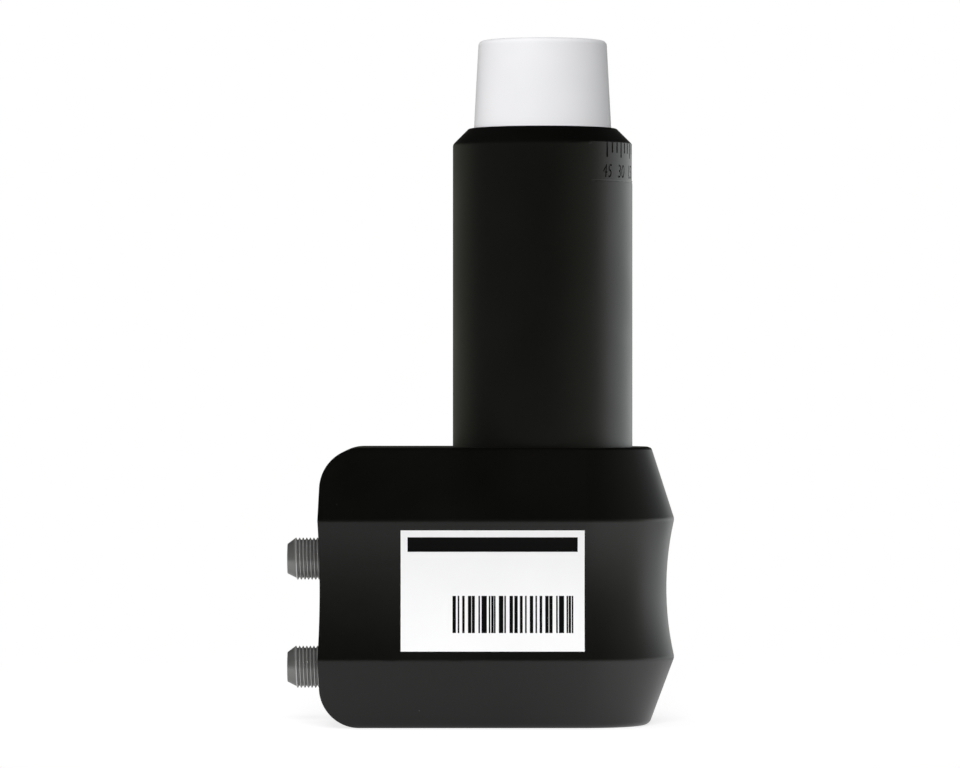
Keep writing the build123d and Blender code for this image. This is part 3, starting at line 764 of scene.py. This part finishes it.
# %% Fade the rim
FADE_START = 0.12
FADE_END = 0.22
white = tree.nodes.new("ShaderNodeEmission")
from_centre = tree.nodes.new("ShaderNodeVectorMath")
from_centre.operation = "DISTANCE"
from_centre.inputs[1].default_value = (*FLOOR_CENTRE, 0.0)
tree.links.new(place.outputs["Object"], from_centre.inputs[0])
rim = soft_step(tree, from_centre.outputs["Value"], FADE_START, FADE_END)
rim = product(tree, rim, rays.outputs["Is Camera Ray"])
faded = tree.nodes.new("ShaderNodeMixShader")
tree.links.new(rim, faded.inputs["Fac"])
tree.links.new(painted.outputs["Shader"], faded.inputs[1])
tree.links.new(white.outputs["Emission"], faded.inputs[2])
surface = tree.nodes.new("ShaderNodeOutputMaterial")
tree.links.new(faded.outputs["Shader"], surface.inputs["Surface"])
print("table fades out", FADE_END, "m from its middle")

# %% [markdown]
# ## The lamp
# One broad soft lamp, in front and above, lights the pale cap, the sticker and the table; the shadow
# falls to the back. It is hidden from mirror rays: a lamp that size would lie as a grey veil on the
# black plastic, which in the portrait mirrors the room and not the lamp. The pale cap is hidden from
# them too, because the bevel of the neck right under it is quite black there and would mirror the cap
# as a grey ring.

# %% The lamp
LAMP_PLACE = Vector((-0.02, -1.47, 0.72))
LAMP_AIM = Vector((0.0, 0.0, 0.09))
LAMP_SIZE = 0.7
LAMP_POWER = 22.0
lamp_data = bpy.data.lights.new("front_lamp", "AREA")
lamp_data.size = LAMP_SIZE
lamp_data.energy = LAMP_POWER
lamp = bpy.data.objects.new("front_lamp", lamp_data)
lamp.location = LAMP_PLACE
lamp.rotation_euler = (LAMP_AIM - LAMP_PLACE).to_track_quat("-Z", "Y").to_euler()
lamp.visible_glossy = False
bpy.context.collection.objects.link(lamp)
nodes["feed_cap"].visible_glossy = False
print("lamp", round((LAMP_AIM - LAMP_PLACE).length, 2), "m away")

# %% [markdown]
# ## The room
# Panels and cards round a real object give black plastic its shape. Here the world stands for them: its
# Generated coordinate is the direction of a ray, so the turn of that direction towards a chosen one, or
# its height, tells which part of the room the ray meets. That needs no geometry and leaves no noise.

# %% An empty room
world = bpy.data.worlds.new("studio")
bpy.context.scene.world = world
world.use_nodes = True
tree = world.node_tree
tree.nodes.clear()
rays = tree.nodes.new("ShaderNodeLightPath")
is_mirror = rays.outputs["Is Glossy Ray"]
place = tree.nodes.new("ShaderNodeTexCoord")
axes = tree.nodes.new("ShaderNodeSeparateXYZ")
tree.links.new(place.outputs["Generated"], axes.inputs["Vector"])
height = axes.outputs["Z"]


def towards(direction, start, end):
    """A soft patch of the room round a direction; start and end are cosines of the turn from it."""
    facing = tree.nodes.new("ShaderNodeVectorMath")
    facing.operation = "DOT_PRODUCT"
    facing.inputs[1].default_value = direction
    tree.links.new(place.outputs["Generated"], facing.inputs[0])
    return soft_step(tree, facing.outputs["Value"], start, end)


print("room named", world.name)

# %% [markdown]
# Mirror rays meet a studio that is dark overhead and dim all round. A bright low wall at the right,
# behind the object, draws the light edge along the neck and the housing; a weak one at the left draws
# the fine line on the other edge; and the whole right side is a little lighter than the left.

# %% What mirror rays meet
WALL_BRIGHT = 1.4
LEFT_BRIGHT = 0.17
SIDE_BRIGHT = 0.2
ROOM_DIM = 0.10
WALL_WAY, WALL_COSINES = (0.82, 0.57, 0.0), (0.56, 0.94)
LEFT_WAY, LEFT_COSINES = (-0.7, 0.71, 0.0), (0.7, 0.95)
SIDE_SPAN = (0.2, 0.9)
WALL_TOP, ROOM_TOP, SIDE_TOP = (0.02, 0.26), (0.14, 0.40), (0.2, 0.8)
wall = towards(WALL_WAY, *WALL_COSINES)
left_wall = towards(LEFT_WAY, *LEFT_COSINES)
side = soft_step(tree, axes.outputs["X"], *SIDE_SPAN)
low_wall = soft_drop(tree, height, *WALL_TOP)
low_room = soft_drop(tree, height, *ROOM_TOP)
low_side = soft_drop(tree, height, *SIDE_TOP)
studio = total(tree, product(tree, wall, low_wall, WALL_BRIGHT),
               product(tree, left_wall, low_wall, LEFT_BRIGHT),
               product(tree, side, low_side, SIDE_BRIGHT), product(tree, low_room, ROOM_DIM))
print("bright wall", WALL_BRIGHT, "dim room", ROOM_DIM)

# %% [markdown]
# Soft light, which matt paint and paper gather from all sides, is faint here but for a bright left side,
# a paler back and a ceiling. So the round cap stays light up to its left edge and falls off on its
# right, as in the portrait, and still has some light when it is seen from behind or from above. The
# camera sees plain white.

# %% Soft light and the white for the camera
SOFT_LIGHT = 0.09
LEFT_SOFT = 1.15
BACK_SOFT = 0.4
TOP_SOFT = 0.6
LEFT_SPAN, BACK_SPAN, TOP_SPAN = (0.5, 1.0), (0.6, 1.0), (0.6, 1.0)
leftness = product(tree, axes.outputs["X"], -1.0)
soft = total(tree, soft_step(tree, leftness, *LEFT_SPAN, 0.0, LEFT_SOFT),
             soft_step(tree, axes.outputs["Y"], *BACK_SPAN, 0.0, BACK_SOFT),
             soft_step(tree, height, *TOP_SPAN, 0.0, TOP_SOFT), SOFT_LIGHT)
is_soft = math_node(tree, "SUBTRACT", 1.0, is_mirror)
unseen = total(tree, product(tree, is_mirror, studio), product(tree, is_soft, soft))
is_clear = math_node(tree, "MAXIMUM", rays.outputs["Is Camera Ray"], rays.outputs["Is Transmission Ray"])
brightness = math_node(tree, "MAXIMUM", unseen, is_clear)
print("soft light", SOFT_LIGHT, "to", round(SOFT_LIGHT + LEFT_SOFT, 2))

# %% [markdown]
# The plastic of the portrait is faintly warm where it mirrors the dim room and neutral along the light
# edge. So mirror rays get a tone for each, mixed by the same patch that draws the wall.

# %% Tones of the room
ROOM_TONE = (1.0, 1.04, 0.84, 1.0)
WALL_TONE = (0.97, 1.0, 1.0, 1.0)
WHITE = (1.0, 1.0, 1.0, 1.0)


def mix_tones(factor, first, second):
    """Mix two colours or colour sockets; gives the result."""
    node = tree.nodes.new("ShaderNodeMix")
    node.data_type = "RGBA"
    tree.links.new(factor, node.inputs["Factor"])
    for socket_name, tone in (("A", first), ("B", second)):
        if isinstance(tone, tuple):
            node.inputs[socket_name].default_value = tone
        else:
            tree.links.new(tone, node.inputs[socket_name])
    return node.outputs["Result"]


sky = tree.nodes.new("ShaderNodeBackground")
sky_out = tree.nodes.new("ShaderNodeOutputWorld")
tree.links.new(mix_tones(is_mirror, WHITE, mix_tones(wall, ROOM_TONE, WALL_TONE)), sky.inputs["Color"])
tree.links.new(brightness, sky.inputs["Strength"])
tree.links.new(sky.outputs["Background"], sky_out.inputs["Surface"])
print("room has", len(tree.nodes), "nodes")

# %% [markdown]
# ## Viewpoint
# The portrait is level and square to the labelled side, taken from a little over a metre away with a
# long lens. One pixel is 0.223 mm at the feed axis, which fixes the lens for a given distance.

# %% Viewpoint
PIXEL = 0.2228 * MM
FRAME_PIXELS = 960
FRAME_WIDTH = FRAME_PIXELS * PIXEL
SENSOR_WIDTH = 36.0
VIEW_DISTANCE = 1.18
VIEW_X = -13.95 * MM
VIEW_Z = 75.4 * MM
camera_data = bpy.data.cameras.new("portrait")
camera_data.sensor_fit = "HORIZONTAL"
camera_data.sensor_width = SENSOR_WIDTH
camera_data.lens = SENSOR_WIDTH * VIEW_DISTANCE / FRAME_WIDTH
camera = bpy.data.objects.new("portrait", camera_data)
camera.location = (VIEW_X, -VIEW_DISTANCE, VIEW_Z)
camera.rotation_euler = (math.radians(90), 0.0, 0.0)
bpy.context.collection.objects.link(camera)
bpy.context.scene.camera = camera
bpy.context.scene.view_settings.view_transform = "Standard"
print("lens", round(camera_data.lens, 1), "mm")
